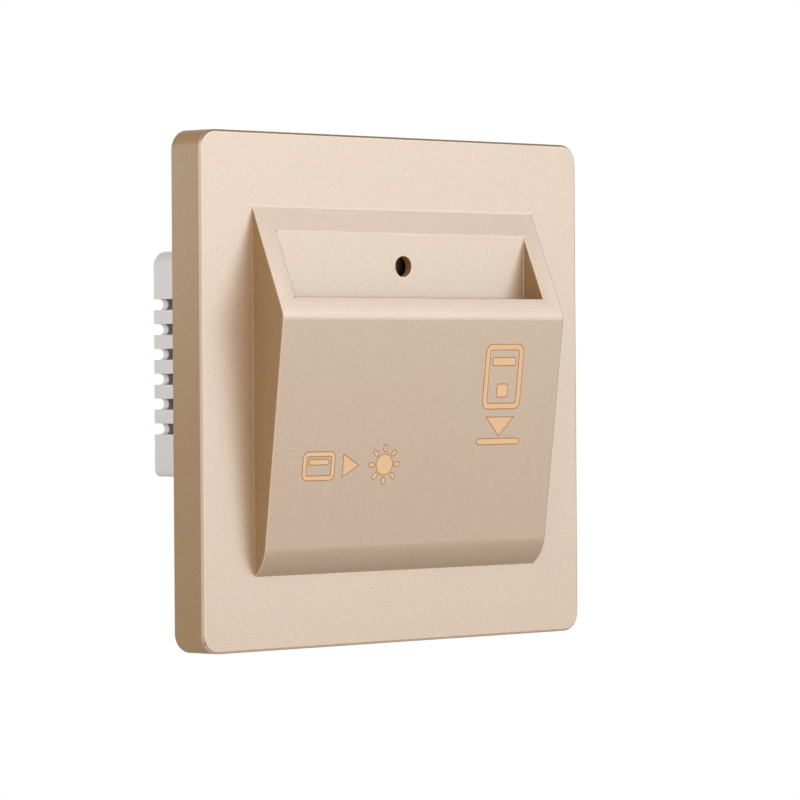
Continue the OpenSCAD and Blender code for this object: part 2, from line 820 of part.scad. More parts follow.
module circuit_board() {
    top = box_in_top - board_gap;
    low = box_in_low + board_gap;
    half = box_in_w / 2 - board_gap;
    clear = post_r + post_clear;
    color("#2f6b45") difference() {
        mid_block(board_y, low, 2 * half, board_t, top - low);
        for (x = [-1, 1], z = [[post_low, -1], [post_top, 1]])
            translate([x * (post_x + over), board_y + board_t / 2, z[0] + z[1] * over])
                cube([2 * (clear + over), board_t + 2 * over, 2 * (clear + over)], center = true);
        for (x = poles)
            block(
                x - bar_tail_w / 2 - pass, board_y - over, bar_top - bar_t - pass,
                bar_tail_w + 2 * pass, board_t + 2 * over, bar_t + 2 * pass
            );
        switch_pin_holes(board_y - over, board_t + 2 * over);
    }
}

module card_lever() {
    color("#f2efe6") difference() {
        union() {
            rod_x(-hub_w / 2, pivot_y, pivot_z, hub_r, hub_w);
            mid_block(arm_front_y, neck_z - sink, hub_w, lever_t, pivot_z - neck_z + sink);
            mid_block(arm_front_y, lever_end_z, lever_w, lever_t, neck_z - lever_end_z);
            rod_x(-pad_w / 2, pad_y - pad_r, switch_z, pad_r, pad_w);
            along_x(nose_w) polygon([
                [arm_front_y + lever_t / 2, nose_z + nose_rise],
                [arm_front_y, nose_z + nose_rise],
                [nose_y, nose_z + nose_tip_h],
                [nose_y, nose_z],
                [arm_front_y, lever_end_z],
                [arm_front_y + lever_t / 2, lever_end_z]
            ]);
        }
        rod_x(-hub_w / 2 - over, pivot_y, pivot_z, pin_r + pin_clear, hub_w + 2 * over);
    }
}

module lever_pin() {
    color("#b9bdc2") rod_x(-pin_l / 2, pivot_y, pivot_z, pin_r, pin_l);
}

// Centre line of the lever spring: a leg behind the arm, the turns, and a leg on the frame
spring_rings = 8;
spring_sides = 6;
spring_x = hub_w / 2 + spring_wire;
spring_touch = 0.03;
leg_down = 6;
leg_up = 3.6;
function spring_turn(t) = [
    spring_x + spring_pitch * t, pivot_y + spring_r * cos(360 * t), pivot_z + spring_r * sin(360 * t)
];
spring_path = concat(
    [[spring_x, arm_back_y + spring_wire / 2 + spring_touch, pivot_z - leg_down]],
    [for (i = [0 : spring_turns * spring_rings]) spring_turn(i / spring_rings)],
    [[
        spring_x + spring_pitch * spring_turns,
        -frame_t - spring_wire / 2 - spring_touch, pivot_z + leg_up
    ]]
);
function heading(p, i) = unit(p[min(i + 1, len(p) - 1)] - p[max(i - 1, 0)]);
function ring(p, i, r) =
    let (t = heading(p, i))
    let (side = unit(cross(t, [1, 0, 0])))
    let (lift = cross(side, t))
    [for (k = [0 : spring_sides - 1])
        p[i] + r * (cos(360 * k / spring_sides) * side + sin(360 * k / spring_sides) * lift)];

// Least gap between one turn of the spring and another, on the points of its centre line
spring_self_gap = min([
    for (i = [0 : len(spring_path) - 1], j = [0 : len(spring_path) - 1])
        if (j - i >= spring_rings / 2) norm(spring_path[i] - spring_path[j])
]) - spring_wire;
echo(spring_self_gap = spring_self_gap);

module lever_spring() {
    n = len(spring_path);
    s = spring_sides;
    points = [for (i = [0 : n - 1]) each ring(spring_path, i, spring_wire / 2)];
    sides = [
        for (i = [0 : n - 2], k = [0 : s - 1])
            let (a = i * s + k, b = i * s + (k + 1) % s)
            each [[a, b, b + s], [a, b + s, a + s]]
    ];
    ends = [
        for (k = [1 : s - 2])
            each [[0, k + 1, k], [(n - 1) * s, (n - 1) * s + k, (n - 1) * s + k + 1]]
    ];
    color("#aeb3b8") polyhedron(points, concat(sides, ends));
}

// The three terminals leave the back of the switch at these places
switch_pin_xs = [
    -switch_l / 2 + switch_wall + contact_t, blade_end - contact_l / 2,
    switch_l / 2 - switch_wall - contact_t
];
module switch_pin_holes(y, l) {
    for (x = switch_pin_xs)
        translate([x, y + l / 2, switch_z])
            cube([contact_t + 2 * pass, l, contact_w + 2 * pass], center = true);
}

module switch_case() {
    low = switch_z - switch_t / 2;
    color("#24262a") difference() {
        mid_block(switch_y, low, switch_l, switch_h, switch_t - switch_lid_t);
        mid_block(
            switch_y + switch_wall, low + switch_wall,
            switch_l - 2 * switch_wall, switch_h - 2 * switch_wall, switch_t
        );
        rod_y(plunger_x, switch_y - over, switch_z, plunger_r + plunger_clear, switch_wall + 2 * over);
        switch_pin_holes(switch_y + switch_h - switch_wall - over, switch_wall + 2 * over);
    }
}

module switch_lid() {
    color("#34373c") mid_block(
        switch_y, switch_z + switch_t / 2 - switch_lid_t, switch_l, switch_h, switch_lid_t
    );
}

module switch_plunger() {
    collar_y = switch_y + switch_wall + pass;
    color("#b23a2e") {
        rod_y(plunger_x, plunger_y, switch_z, plunger_r, collar_y + collar_t / 2 - plunger_y);
        rod_y(plunger_x, collar_y, switch_z, collar_r, collar_t);
        rod_y(plunger_x, collar_y, switch_z, foot_r, foot_y - collar_y);
    }
}

module switch_blade() {
    color("#c98d4a") block(
        -blade_end, blade_y - blade_t / 2, switch_z - blade_w / 2, 2 * blade_end, blade_t, blade_w
    );
}

module switch_pin(x, y) {
    translate([x - contact_t / 2, y, switch_z - contact_w / 2])
        cube([contact_t, rear_y + pin_over - y, contact_w]);
}

module switch_terminals() {
    closed_y = blade_y + blade_t / 2 + blade_lift + contact_gap;
    open_y = blade_y - blade_t / 2 - contact_gap;
    far_x = switch_pin_xs[2] + contact_t / 2;
    reach = far_x - plunger_x - collar_r - contact_gap;
    color("#cda45c") {
        switch_pin(switch_pin_xs[0], blade_y - blade_t);
        switch_pin(switch_pin_xs[1], closed_y);
        block(
            switch_pin_xs[1] - contact_l / 2, closed_y, switch_z - contact_w / 2,
            contact_l, contact_t, contact_w
        );
        switch_pin(switch_pin_xs[2], open_y - contact_t);
        block(
            far_x - reach, open_y - contact_t, switch_z - contact_w / 2,
            reach, contact_t, contact_w
        );
    }
}

module indicator_lamp() {
    color("#dfe9d8") {
        translate([0, lamp_tip + led_r, window_z]) sphere(led_r);
        rod_y(0, lamp_tip + led_r, window_z, led_r, led_l - led_r - sink);
        rod_y(0, lamp_seat, window_z, led_flange_r, led_flange_t);
    }
}

module lamp_leads() {
    y = lamp_tip + led_l;
    color("#c4c8cc") for (x = [-1, 1])
        rod_y(x * lead_pitch / 2, y, window_z, lead_r, board_y - y);
}

module relay_cover() {
    color("#2b5fa8") difference() {
        block(relay_x, rear_y, relay_z, relay_l, relay_h, relay_w);
        block(
            relay_x + relay_wall, rear_y - over, relay_z + relay_wall,
            relay_l - 2 * relay_wall, relay_h - relay_wall + over, relay_w - 2 * relay_wall
        );
    }
}

module relay_base() {
    color("#1d2024") block(
        relay_x + relay_in, rear_y, relay_z + relay_in,
        relay_l - 2 * relay_in, relay_base_t, relay_w - 2 * relay_in
    );
}

module relay_coil() {
    color("#a8552c") difference() {
        union() {
            rod_x(coil_x, coil_y, relay_mid_z, coil_r, coil_l);
            for (x = [coil_x, coil_x + coil_l - coil_flange_t])
                rod_x(x, coil_y, relay_mid_z, coil_flange_r, coil_flange_t);
        }
        rod_x(coil_x - over, coil_y, relay_mid_z, core_r + core_clear, coil_l + 2 * over);
    }
}

module relay_yoke() {
    foot = rear_y + relay_base_t;
    low = relay_mid_z - yoke_w / 2;
    color("#8f9499") {
        block(yoke_x, foot, low, yoke_t, hinge_y - foot, yoke_w);
        block(yoke_x, yoke_y, low, core_end - yoke_x, yoke_t, yoke_w);
        rod_x(yoke_x, coil_y, relay_mid_z, core_r, core_end - yoke_x);
    }
}

module relay_armature() {
    low = relay_mid_z - yoke_w / 2;
    color("#9aa0a6") {
        block(armature_x, armature_low, low, armature_t, hinge_y - armature_low, yoke_w);
        block(
            armature_x, arm_y, relay_mid_z - contact_r, armature_t + arm_reach, arm_thick, 2 * contact_r
        );
    }
}

module relay_contacts() {
    foot = rear_y + relay_base_t;
    x = armature_x + armature_t + arm_reach - contact_r;
    open_y = arm_y + arm_thick + rest_gap;
    post = x + contact_r + touch_gap;
    color("#cda45c") {
        rod_y(x, foot, relay_mid_z, contact_r, arm_y - touch_gap - foot);
        block(post, foot, relay_mid_z - contact_r, arm_thick, open_y + arm_thick - foot, 2 * contact_r);
        block(
            x - contact_r, open_y, relay_mid_z - contact_r,
            post - x + contact_r + sink, arm_thick, 2 * contact_r
        );
    }
}

module film_capacitor() {
    color("#c8a53a") block(film_x, rear_y, film_z, film_w, film_h, film_l);
}

module electrolytic_capacitors() {
    groove = 0.25;
    groove_lift = 2;
    color("#27344f") for (x = can_xs)
        difference() {
            rod_y(x, rear_y, can_z, can_r, can_h);
            translate([x, rear_y + groove_lift, can_z]) rotate([-90, 0, 0])
                rotate_extrude() translate([can_r, 0]) circle(groove);
        }
}

// Axial part lying on the front of the board at depth y, with its leads bent back to the board
module axial_part(x, y, z, r, l) {
    translate([x, y, z - l / 2]) cylinder(h = l, r = r);
    translate([x, y, z - l / 2 - lead_reach]) cylinder(h = l + 2 * lead_reach, r = lead_r);
    for (end = [-1, 1])
        translate([x, y, z + end * (l / 2 + lead_reach)]) rotate([-90, 0, 0])
            cylinder(h = r + pass, r = lead_r);
}

module resistors() {
    color("#b79a6a") for (x = resistor_xs)
        axial_part(x, board_y - resistor_r - pass, resistor_z, resistor_r, resistor_l);
}

module diodes() {
    color("#2a2b2e") for (x = diode_xs, z = diode_zs)
        axial_part(x, board_y - diode_r - pass, z, diode_r, diode_l);
}

module control_chip() {
    color("#1b1c1f") block(
        chip_x - chip_w / 2, board_y - chip_t, chip_z - chip_w / 2, chip_w, chip_t, chip_w
    );
}

module terminal_block() {
    cavity_d = clamp_far - clamp_y + 2 * clamp_clear;
    base_y = rear_y + pin_over + block_stand;
    color("#3a3d40") difference() {
        union() {
            mid_block(base_y, block_z, block_w, block_y - base_y, block_h);
            for (x = [0, block_w - block_foot])
                block(x - block_w / 2, rear_y, block_z, block_foot, base_y + sink - rear_y, block_h);
        }
        for (x = poles) {
            block(
                x - clamp_w / 2 - clamp_clear, clamp_y - clamp_clear, block_z - over,
                clamp_w + 2 * clamp_clear, cavity_d, clamp_z + clamp_l + clamp_clear - block_z + over
            );
            rod_y(x, clamp_far, term_z, term_screw_r + term_screw_clear, block_y - clamp_far + over);
            block(
                x - bar_w / 2 - pass, bar_y - pass, clamp_z,
                bar_w + 2 * pass, bar_t + 2 * pass, bar_top + pass - clamp_z
            );
            block(
                x - bar_tail_w / 2 - pass, rear_y - over, bar_top - bar_t - pass,
                bar_tail_w + 2 * pass, bar_y + bar_t + pass - rear_y + over, bar_t + 2 * pass
            );
        }
    }
}

module bus_bars() {
    color("#cda45c") for (x = poles) {
        block(x - bar_w / 2, bar_y, clamp_z + bar_foot, bar_w, bar_t, bar_top - clamp_z - bar_foot);
        block(
            x - bar_tail_w / 2, board_y + bar_foot, bar_top - bar_t,
            bar_tail_w, bar_y + bar_t - board_y - bar_foot, bar_t
        );
    }
}

module terminal_screw(x) {
    tip = bar_y + bar_t + clamp_clear;
    color("#c9ccd0") difference() {
        union() {
            rod_y(x, tip, term_z, term_screw_r, block_y - tip + sink);
            rod_y(x, block_y, term_z, term_head_r, term_head_h);
        }
        translate([x, block_y + term_head_h, term_z])
            cube([2 * term_head_r + over, 2 * driver_slot_d, driver_slot_w], center = true);
    }
}

module terminal_clamp(x) {
    side = (clamp_w - bar_w) / 2 - clamp_clear;
    color("#d9d5c8") difference() {
        block(x - clamp_w / 2, clamp_y, clamp_z, clamp_w, clamp_d, clamp_l);
        block(
            x - clamp_w / 2 + side, clamp_y + clamp_wall, clamp_z - over,
            clamp_w - 2 * side, clamp_d - clamp_wall - clamp_nut, clamp_l + 2 * over
        );
        rod_y(x, clamp_y + clamp_d - clamp_nut - over, term_z, term_screw_r + term_screw_clear,
            clamp_nut + 2 * over);
    }
}

front_cover();
mounting_frame();
rear_housing();
housing_screws();
circuit_board();
card_lever();
lever_pin();
lever_spring();
switch_case();
switch_lid();
switch_plunger();
switch_blade();
switch_terminals();
indicator_lamp();
lamp_leads();
relay_base();
relay_cover();
relay_coil();
relay_yoke();
relay_armature();
relay_contacts();
film_capacitor();
electrolytic_capacitors();
resistors();
diodes();
control_chip();
terminal_block();
bus_bars();
terminal_screw(poles[0]);  // terminal_screw_1
terminal_screw(poles[1]);  // terminal_screw_2
terminal_screw(poles[2]);  // terminal_screw_3
terminal_clamp(poles[0]);  // terminal_clamp_1
terminal_clamp(poles[1]);  // terminal_clamp_2
terminal_clamp(poles[2]);  // terminal_clamp_3
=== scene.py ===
import math

import bmesh
import bpy
from mathutils import Matrix, Vector


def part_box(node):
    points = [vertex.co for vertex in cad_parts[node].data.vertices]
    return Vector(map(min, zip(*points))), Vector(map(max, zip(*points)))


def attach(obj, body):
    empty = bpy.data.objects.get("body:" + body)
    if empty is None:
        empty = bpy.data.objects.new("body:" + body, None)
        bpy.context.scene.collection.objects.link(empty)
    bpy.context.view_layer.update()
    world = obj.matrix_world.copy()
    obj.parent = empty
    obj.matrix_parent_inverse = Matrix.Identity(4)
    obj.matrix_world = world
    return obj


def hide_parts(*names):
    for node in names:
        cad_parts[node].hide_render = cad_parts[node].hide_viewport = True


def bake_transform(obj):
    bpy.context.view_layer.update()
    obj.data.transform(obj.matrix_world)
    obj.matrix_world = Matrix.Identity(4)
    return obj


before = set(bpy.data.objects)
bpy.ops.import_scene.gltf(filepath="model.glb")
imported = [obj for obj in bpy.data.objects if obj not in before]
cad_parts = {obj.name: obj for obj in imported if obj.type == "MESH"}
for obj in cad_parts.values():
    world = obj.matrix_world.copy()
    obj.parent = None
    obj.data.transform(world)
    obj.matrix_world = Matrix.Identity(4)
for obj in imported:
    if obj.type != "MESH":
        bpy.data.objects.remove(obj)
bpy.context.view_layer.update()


# Rear housing: the pale grey box that sinks into the wall box, moulded in one piece of
# flame-resistant plastic with a fine spark-eroded grain. Open at the front, with six
# ventilation slots in each side, it is held to the mounting frame by four screws.
MM = 0.001


def colour(red, green, blue):
    """The colour that the eye reads as these 0-255 levels, as the shader's linear values."""
    return tuple(
        c / 12.92 if c <= 0.04045 else ((c + 0.055) / 1.055) ** 2.4
        for c in (red / 255, green / 255, blue / 255)
    ) + (1.0,)


def feed(node, inputs):
    """Links each of these inputs of a shader node to a socket, or sets it to a value."""
    for key, value in inputs.items():
        if isinstance(value, bpy.types.NodeSocket):
            node.id_data.links.new(value, node.inputs[key])
        else:
            node.inputs[key].default_value = value


def add(tree, kind, inputs=None, **settings):
    """Adds a shader node of this kind with its settings and inputs."""
    node = tree.nodes.new("ShaderNode" + kind)
    for key, value in settings.items():
        setattr(node, key, value)
    feed(node, inputs or {})
    return node


def maths(tree, operation, first, second=0.0):
    """The result of one operation on values or sockets."""
    return add(tree, "Math", {0: first, 1: second}, operation=operation).outputs[0]


def swing(tree, noise):
    """How far a noise swings to either side of its middle value."""
    return maths(tree, "SUBTRACT", noise, 0.5)


def bumped(tree, height, strength, depth):
    """The normal of a surface whose relief has this height map and this depth in mm."""
    bump = add(tree, "Bump", {"Strength": strength, "Distance": depth * MM, "Height": height})
    return bump.outputs[0]


def effect(name, inputs, outputs):
    """An empty shader group with named sockets: the group, its inputs by name, its output node."""
    group = bpy.data.node_groups.new(name, "ShaderNodeTree")
    kinds = {"c": "NodeSocketColor", "f": "NodeSocketFloat", "v": "NodeSocketVector"}
    for label, kind in inputs:
        group.interface.new_socket(label, in_out="INPUT", socket_type=kinds[kind])
    for label, kind in outputs:
        group.interface.new_socket(label, in_out="OUTPUT", socket_type=kinds[kind])
    return group, group.nodes.new("NodeGroupInput").outputs, group.nodes.new("NodeGroupOutput")


def place(tree, group, inputs):
    """Places a group in a material with that material's own values."""
    return add(tree, "Group", inputs, node_tree=group).outputs


def material(name):
    """A new material, with its node tree and its shader."""
    made = bpy.data.materials.new(name)
    made.use_nodes = True
    return made, made.node_tree, made.node_tree.nodes["Principled BSDF"]


# Moulded grain: cloudy colour and a fine stipple, as a spark-eroded mould leaves them
moulded_grain, given, result = effect(
    "Moulded grain",
    [("Colour", "c"), ("Grain", "f"), ("Clouding", "f"), ("Roughness", "f")],
    [("Colour", "c"), ("Roughness", "f"), ("Height", "f")],
)
where = add(moulded_grain, "TexCoord").outputs["Object"]
stipple = add(moulded_grain, "TexNoise", {"Vector": where, "Scale": given["Grain"], "Detail": 3.0})
clouds = add(moulded_grain, "TexNoise", {"Vector": where, "Scale": 140.0, "Detail": 2.0})
fine = swing(moulded_grain, stipple.outputs[0])
broad = swing(moulded_grain, clouds.outputs[0])
both = maths(moulded_grain, "ADD", broad, maths(moulded_grain, "MULTIPLY", fine, 0.5))
shade = maths(moulded_grain, "ADD", maths(moulded_grain, "MULTIPLY", both, given["Clouding"]), 1.0)
shaded = add(moulded_grain, "HueSaturation", {"Color": given["Colour"], "Value": shade})
uneven = maths(moulded_grain, "MULTIPLY", fine, 0.35)
feed(result, {
    "Colour": shaded.outputs[0],
    "Roughness": maths(moulded_grain, "ADD", given["Roughness"], uneven),
    "Height": stipple.outputs[0],
})


def moulded(name, tone, roughness=0.5, grain=5200.0, clouding=0.10, relief=0.012):
    """A moulded plastic in one tone with its stipple in colour, gloss and relief."""
    made, tree, shader = material(name)
    grained = place(tree, moulded_grain, {
        "Colour": tone, "Grain": grain, "Clouding": clouding, "Roughness": roughness,
    })
    feed(shader, {
        "Base Color": grained["Colour"],
        "Roughness": grained["Roughness"],
        "Normal": bumped(tree, grained["Height"], 0.5, relief),
    })
    return made


def dress(node, finish, ease=0.12):
    """Gives a CAD node its finish, and eases its edges by so many mm, as a mould or press does."""
    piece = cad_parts[node]
    for held in piece.material_slots:
        held.material = finish
    if not piece.material_slots:
        piece.data.materials.append(finish)
    weld = piece.modifiers.new("Weld", "WELD")
    weld.merge_threshold = 0.0005 * MM
    flat = piece.modifiers.new("Flat faces", "DECIMATE")
    flat.decimate_type = "DISSOLVE"
    flat.angle_limit = math.radians(0.5)
    bevel = piece.modifiers.new("Eased edges", "BEVEL")
    bevel.width = ease * MM
    bevel.segments = 2
    bevel.limit_method = "ANGLE"
    bevel.angle_limit = math.radians(32)
    even = piece.modifiers.new("Even shading", "WEIGHTED_NORMAL")
    even.keep_sharp = False


housing_plastic = moulded("Housing plastic", colour(234, 227, 222), roughness=0.55, clouding=0.06)
dress("rear_housing", housing_plastic, ease=0.15)


# Circuit board: glass-fibre laminate with a green solder mask over its copper tracks.
# It stands on the ribs of the rear housing, and the switch and relay are soldered to it.
def mix_colour(tree, factor, first, second):
    """The colour that lies between two others by this factor."""
    return add(tree, "Mix", {0: factor, 6: first, 7: second}, data_type="RGBA").outputs[2]


def remap(tree, value, low, high, out_low, out_high):
    """A value carried over from one range to another, and held at its ends."""
    node = add(tree, "MapRange", {0: value, 1: low, 2: high, 3: out_low, 4: out_high})
    return node.outputs[0]


board_mask, tree, shader = material("Solder mask on laminate")
where = add(tree, "TexCoord").outputs["Object"]
tracks = add(
    tree, "TexVoronoi", {"Vector": where, "Scale": 260.0, "Randomness": 0.75},
    feature="DISTANCE_TO_EDGE",
)
track = remap(tree, tracks.outputs["Distance"], 0.05, 0.09, 1.0, 0.0)
grained = place(tree, moulded_grain, {
    "Colour": colour(24, 92, 52), "Grain": 9000.0, "Clouding": 0.25, "Roughness": 0.32,
})
feed(shader, {
    "Base Color": mix_colour(tree, track, grained["Colour"], colour(58, 138, 78)),
    "Roughness": grained["Roughness"],
    "Normal": bumped(tree, track, 0.6, 0.03),
})
dress("circuit_board", board_mask, ease=0.05)


# Power relay: a copper coil on a white bobbin, an iron yoke and armature, and brass contacts,
# on a black base under a blue moulded cover. It is soldered to the board's back.

# Drawn metal: fine streaks along one direction, as rolling, drawing or turning leaves them
drawn_metal, given, result = effect(
    "Drawn metal",
    [("Colour", "c"), ("Stretch", "v"), ("Roughness", "f")],
    [("Colour", "c"), ("Roughness", "f"), ("Height", "f")],
)
where = add(drawn_metal, "TexCoord").outputs["Object"]
pulled = add(drawn_metal, "VectorMath", {0: where, 1: given["Stretch"]}, operation="MULTIPLY")
streaks = add(drawn_metal, "TexNoise", {"Vector": pulled.outputs[0], "Scale": 6500.0, "Detail": 3.0})
stains = add(drawn_metal, "TexNoise", {"Vector": where, "Scale": 420.0, "Detail": 4.0})
streak = swing(drawn_metal, streaks.outputs[0])
stain = swing(drawn_metal, stains.outputs[0])
value = maths(drawn_metal, "ADD", maths(drawn_metal, "MULTIPLY", stain, 0.30), 1.0)
toned = add(drawn_metal, "HueSaturation", {"Color": given["Colour"], "Value": value})
rough = maths(drawn_metal, "ADD", maths(drawn_metal, "MULTIPLY", streak, 0.25), given["Roughness"])
feed(result, {
    "Colour": toned.outputs[0],
    "Roughness": maths(drawn_metal, "ADD", maths(drawn_metal, "MULTIPLY", stain, 0.2), rough),
    "Height": streaks.outputs[0],
})


def metal(name, tone, roughness=0.34, stretch=(1.0, 0.06, 1.0)):
    """A bare or plated metal with its drawing marks."""
    made, tree, shader = material(name)
    drawn = place(tree, drawn_metal, {"Colour": tone, "Stretch": stretch, "Roughness": roughness})
    feed(shader, {
        "Base Color": drawn["Colour"],
        "Roughness": drawn["Roughness"],
        "Metallic": 1.0,
        "Normal": bumped(tree, drawn["Height"], 0.35, 0.006),
    })
    return made


relay_black = moulded("Relay base plastic", colour(42, 42, 46), roughness=0.5)
relay_blue = moulded("Relay cover plastic", colour(46, 92, 152), roughness=0.38, relief=0.008)
soft_iron = metal("Plated iron", colour(186, 186, 182), roughness=0.38)
contact_brass = metal("Contact brass", colour(206, 172, 98), roughness=0.3)

# The winding lies in turns of fine enamelled wire between the bobbin's two white flanges
flange_width, wire_pitch = 1.05 * MM, 0.18 * MM
coil_low, coil_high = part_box("relay_coil")
coil_mid = (coil_low + coil_high) / 2
winding, tree, shader = material("Enamelled copper winding")
along = add(tree, "SeparateXYZ", {0: add(tree, "TexCoord").outputs["Object"]}).outputs["X"]
from_middle = maths(tree, "ABSOLUTE", maths(tree, "SUBTRACT", along, coil_mid.x))
flange = maths(tree, "GREATER_THAN", from_middle, (coil_high.x - coil_low.x) / 2 - flange_width)
turn = maths(tree, "SINE", maths(tree, "MULTIPLY", along, 2 * math.pi / wire_pitch))
# Each turn is painted dark in its groove and light on its crown: painted shade and painted highlight.
turns_with_painted_shade = mix_colour(
    tree, remap(tree, turn, -1.0, 1.0, 0.0, 1.0), colour(104, 48, 22), colour(206, 118, 62)
)
wound = maths(tree, "SUBTRACT", 1.0, flange)
feed(shader, {
    "Base Color": mix_colour(tree, flange, turns_with_painted_shade, colour(226, 224, 216)),
    "Roughness": remap(tree, turn, -1.0, 1.0, 0.5, 0.28),
    "Metallic": maths(tree, "MULTIPLY", wound, 0.75),
    "Normal": bumped(tree, maths(tree, "MULTIPLY", turn, wound), 0.7, 0.05),
})

dress("relay_base", relay_black)
dress("relay_cover", relay_blue, ease=0.3)
dress("relay_coil", winding, ease=0.08)
dress("relay_yoke", soft_iron, ease=0.08)
dress("relay_armature", soft_iron, ease=0.08)
dress("relay_contacts", contact_brass, ease=0.05)


# Small parts of the board: a boxed film capacitor, two sleeved electrolytic capacitors,
# two banded resistors, four diodes and the control chip. All are soldered to the board.
film_case = moulded("Film capacitor case", colour(206, 162, 62), roughness=0.42)
dress("film_capacitor", film_case, ease=0.5)

# Sleeve: dark shrink film with one pale stripe along the can, and bare aluminium on its end
stripe_depth, bare_depth = 0.7 * MM, 0.06 * MM
_, can_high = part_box("electrolytic_capacitors")
can_sleeve, tree, shader = material("Capacitor sleeve")
spot = add(tree, "SeparateXYZ", {0: add(tree, "TexCoord").outputs["Object"]}).outputs
stripe = maths(tree, "GREATER_THAN", spot["Z"], can_high.z - stripe_depth)
bare_end = maths(tree, "GREATER_THAN", spot["Y"], can_high.y - bare_depth)
grained = place(tree, moulded_grain, {
    "Colour": colour(28, 38, 66), "Grain": 2600.0, "Clouding": 0.2, "Roughness": 0.3,
})
sleeve = mix_colour(tree, stripe, grained["Colour"], colour(190, 194, 200))
feed(shader, {
    "Base Color": mix_colour(tree, bare_end, sleeve, colour(206, 208, 210)),
    "Roughness": grained["Roughness"],
    "Metallic": bare_end,
})
dress("electrolytic_capacitors", can_sleeve, ease=0.3)

tinned = colour(200, 202, 204)


def axial_part(name, node, body, bands, half_body, middles):
    """Small axial parts: a lacquered body with bands round it, and tinned leads past its ends."""
    made, tree, shader = material(name)
    height = add(tree, "SeparateXYZ", {0: add(tree, "TexCoord").outputs["Object"]}).outputs["Z"]
    along, *others = [maths(tree, "SUBTRACT", height, middle * MM) for middle in middles]
    reach = maths(tree, "ABSOLUTE", along)
    for other in others:
        nearer = maths(tree, "LESS_THAN", maths(tree, "ABSOLUTE", other), reach)
        along = add(tree, "Mix", {0: nearer, 2: along, 3: other}).outputs[0]
        reach = maths(tree, "ABSOLUTE", along)
    grained = place(tree, moulded_grain, {
        "Colour": body, "Grain": 4000.0, "Clouding": 0.2, "Roughness": 0.38,
    })
    tone = grained["Colour"]
    for place_along, half_width, band in bands:
        limits = {0: along, 1: place_along * MM, 2: half_width * MM}
        within = add(tree, "Math", limits, operation="COMPARE").outputs[0]
        tone = mix_colour(tree, within, tone, band)
    lead = maths(tree, "GREATER_THAN", reach, half_body * MM)
    feed(shader, {
        "Base Color": mix_colour(tree, lead, tone, tinned),
        "Roughness": grained["Roughness"],
        "Metallic": lead,
    })
    dress(node, made, ease=0.06)


resistor_bands = [
    (-2.1, 0.3, colour(120, 66, 34)), (-0.9, 0.3, colour(36, 34, 34)),
    (0.3, 0.3, colour(190, 92, 34)), (2.0, 0.3, colour(186, 150, 66)),
]
diode_bands = [(1.4, 0.35, colour(196, 198, 200))]
axial_part("Resistor lacquer", "resistors", colour(198, 172, 128), resistor_bands, 3.2, [10.8])
axial_part("Diode resin", "diodes", colour(34, 34, 36), diode_bands, 2.15, [0.15, 7.85])
chip_resin = moulded("Chip resin", colour(38, 38, 40), roughness=0.6, grain=9000.0, relief=0.02)
dress("control_chip", chip_resin, ease=0.15)


# Terminal block: a dark moulded block on the board's back with three poles. In each pole a
# slotted steel screw draws a plated clamp up against a brass bus bar and grips the wire.
block_plastic = moulded("Terminal block plastic", colour(62, 66, 70), roughness=0.48)
bar_brass = metal("Bus bar brass", colour(200, 166, 96), roughness=0.32, stretch=(1.0, 1.0, 0.06))
zinc_steel = metal("Zinc-plated steel", colour(196, 198, 200), roughness=0.3)
clamp_steel = metal("Clamp steel", colour(178, 180, 180), roughness=0.36, stretch=(0.06, 1.0, 1.0))
dress("terminal_block", block_plastic, ease=0.2)
dress("bus_bars", bar_brass, ease=0.06)
for pole in (1, 2, 3):
    dress(f"terminal_screw_{pole}", zinc_steel, ease=0.12)
    dress(f"terminal_clamp_{pole}", clamp_steel, ease=0.1)


# Snap switch: a black case and lid with a red plunger that the lever pushes in. Inside, the
# plunger tips a spring-bronze blade from one contact to the other.
case_plastic = moulded("Switch case plastic", colour(40, 41, 44), roughness=0.46)
plunger_plastic = moulded("Plunger plastic", colour(168, 44, 36), roughness=0.36, relief=0.006)
blade_bronze = metal("Spring bronze", colour(200, 150, 96), roughness=0.28, stretch=(0.06, 1.0, 1.0))
dress("switch_case", case_plastic, ease=0.15)
dress("switch_lid", case_plastic, ease=0.15)
dress("switch_plunger", plunger_plastic, ease=0.12)
dress("switch_blade", blade_bronze, ease=0.05)
dress("switch_terminals", contact_brass, ease=0.05)


# Indicator lamp: a domed lamp of amber resin behind the round window, so that the slot is
# found in the dark. Its two tinned leads run back to the board.
lamp_resin, tree, shader = material("Lamp resin")
where = add(tree, "TexCoord").outputs["Object"]
haze = add(tree, "TexNoise", {"Vector": where, "Scale": 900.0, "Detail": 3.0}).outputs[0]
feed(shader, {
    "Base Color": mix_colour(tree, haze, colour(206, 150, 92), colour(222, 172, 114)),
    "Roughness": remap(tree, haze, 0.3, 0.7, 0.08, 0.2),
    "Transmission Weight": 0.4,
    "IOR": 1.54,
})
dress("indicator_lamp", lamp_resin, ease=0.1)
tinned_wire = metal("Tinned wire", tinned, roughness=0.3)
dress("lamp_leads", tinned_wire, ease=0.04)


# Mounting frame: the plate that the two wall screws hold to the wall box, moulded in pale
# grey plastic. Its rim and sockets take the cover, and four screws hold the housing to it.
frame_plastic = moulded("Frame plastic", colour(226, 224, 219), roughness=0.5, clouding=0.08)
dress("mounting_frame", frame_plastic, ease=0.15)
dress("housing_screws", zinc_steel, ease=0.12)


# Card lever: a slick white moulding whose nose stands in the card slot. It turns on a steel
# pin between two ears of the frame, and a wound steel spring brings it back.
lever_plastic = moulded("Lever plastic", colour(238, 236, 228), roughness=0.34, relief=0.006)
pin_steel = metal("Pin steel", colour(190, 192, 194), roughness=0.22, stretch=(0.05, 1, 1))
dress("card_lever", lever_plastic, ease=0.2)
dress("lever_pin", pin_steel, ease=0.1)
